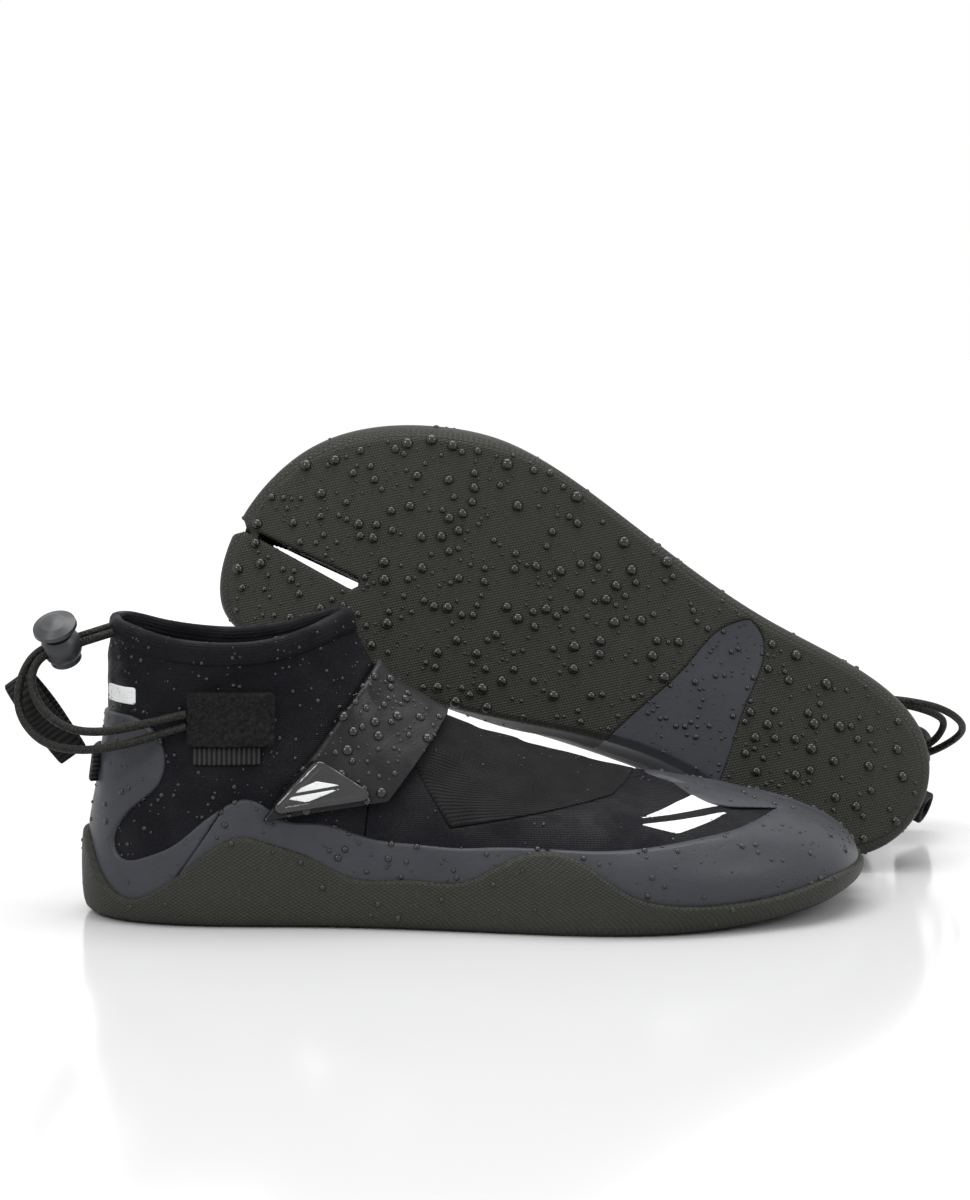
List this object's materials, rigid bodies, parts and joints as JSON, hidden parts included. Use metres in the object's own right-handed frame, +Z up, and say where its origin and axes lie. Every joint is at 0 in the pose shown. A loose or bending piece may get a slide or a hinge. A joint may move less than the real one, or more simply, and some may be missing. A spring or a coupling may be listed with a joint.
{
  "type": "neoprene boots",
  "caption": "Pair of low-cut split-toe neoprene reef boots with rubber soles, instep straps and heel drawcords, one standing, one lying sole forward.",
  "frame": {"origin": "bottom centre of the pair's box, on the floor", "axes": "+X along the standing right boot from heel to toes, +Y from its outer side towards the lying left boot, +Z up"},
  "size_m": [0.3615, 0.2306, 0.1662],
  "materials": {
    "outsole": "satin",
    "rand": "satin",
    "board": "matt",
    "footbed": "matt",
    "neoprene": "matt",
    "knit": "matt",
    "strap": "matt",
    "webbing": "matt",
    "badge": "gloss",
    "label": "matt",
    "cord": "satin",
    "lock": "satin",
    "steel": "brushed"
  },
  "bodies": {
    "right_boot": {"right_ankle_lateral": "neoprene", "right_ankle_medial": "neoprene", "right_arch_panel": "rand", "right_collar_binding": "neoprene", "right_cord_lower": "cord", "right_cord_upper": "cord", "right_footbed": "footbed", "right_heel_cap": "rand", "right_heel_counter": "board", "right_heel_label": "label", "right_instep_panel": "knit", "right_keeper_patch": "webbing", "right_keeper_webbing": "webbing", "right_lasting_board": "board", "right_lateral_rand": "rand", "right_loop_patch": "webbing", "right_loop_tab": "webbing", "right_medial_rand": "rand", "right_outsole": "outsole", "right_strap_anchor": "strap", "right_toe_cap": "rand", "right_vamp": "neoprene"},
    "right_strap": {"right_strap_flap": "strap", "right_hook_patch": "webbing", "right_badge": "badge"},
    "right_lock": {"right_lock_body": "lock", "right_lock_spring": "steel"},
    "right_button": {"right_lock_button": "lock"},
    "right_loop": {"right_pull_loop": "webbing"},
    "left_boot": {"left_ankle_lateral": "neoprene", "left_ankle_medial": "neoprene", "left_arch_panel": "rand", "left_collar_binding": "neoprene", "left_cord_lower": "cord", "left_cord_upper": "cord", "left_footbed": "footbed", "left_heel_cap": "rand", "left_heel_counter": "board", "left_heel_label": "label", "left_instep_panel": "knit", "left_keeper_patch": "webbing", "left_keeper_webbing": "webbing", "left_lasting_board": "board", "left_lateral_rand": "rand", "left_loop_patch": "webbing", "left_loop_tab": "webbing", "left_medial_rand": "rand", "left_outsole": "outsole", "left_strap_anchor": "strap", "left_toe_cap": "rand", "left_vamp": "neoprene"},
    "left_strap": {"left_strap_flap": "strap", "left_hook_patch": "webbing", "left_badge": "badge"},
    "left_lock": {"left_lock_body": "lock", "left_lock_spring": "steel"},
    "left_button": {"left_lock_button": "lock"},
    "left_loop": {"left_pull_loop": "webbing"}
  },
  "joints": [
    {"name": "right_strap_peel", "type": "hinge", "parent": "right_boot", "child": "right_strap", "pos_m": [-0.0428, -0.05687, 0.0895], "axis": [-0.7992, 0, 0.601], "range_deg": [0, 120]},
    {"name": "right_lock_slide", "type": "slide", "parent": "right_boot", "child": "right_lock", "axis": [0.9495, 0.1199, 0.2899], "range_m": [0, 0.004]},
    {"name": "right_button_press", "type": "slide", "parent": "right_lock", "child": "right_button", "axis": [0.1758, 0.5618, -0.8084], "range_m": [0, 0.002], "stiffness_N_per_m": 400, "springref_m": -0.0015, "deforming": ["right_lock_spring"]},
    {"name": "right_loop_swing", "type": "hinge", "parent": "right_boot", "child": "right_loop", "pos_m": [-0.15166, -0.06587, 0.05563], "axis": [-0.8147, 0, -0.5798], "range_deg": [-2, 25], "stiffness_Nm_per_rad": 0.01},
    {"name": "left_boot_lift", "type": "slide", "parent": "right_boot", "child": "left_boot", "axis": [0, 0, 1], "range_m": [0, 0.2]},
    {"name": "left_strap_peel", "type": "hinge", "parent": "left_boot", "child": "left_strap", "pos_m": [0.06047, 0.09801, 0.05344], "axis": [-0.7121, -0.5369, 0.4524], "range_deg": [0, 120]},
    {"name": "left_lock_slide", "type": "slide", "parent": "left_boot", "child": "left_lock", "axis": [-0.94, 0.1762, -0.292], "range_m": [0, 0.004]},
    {"name": "left_button_press", "type": "slide", "parent": "left_lock", "child": "left_button", "axis": [-0.0738, -0.941, -0.3302], "range_m": [0, 0.002], "stiffness_N_per_m": 400, "springref_m": -0.0015, "deforming": ["left_lock_spring"]},
    {"name": "left_loop_swing", "type": "hinge", "parent": "left_boot", "child": "left_loop", "pos_m": [0.16088, 0.05846, 0.01814], "axis": [-0.873, 0.2671, 0.4081], "range_deg": [-2, 25], "stiffness_Nm_per_rad": 0.01}
  ]
}
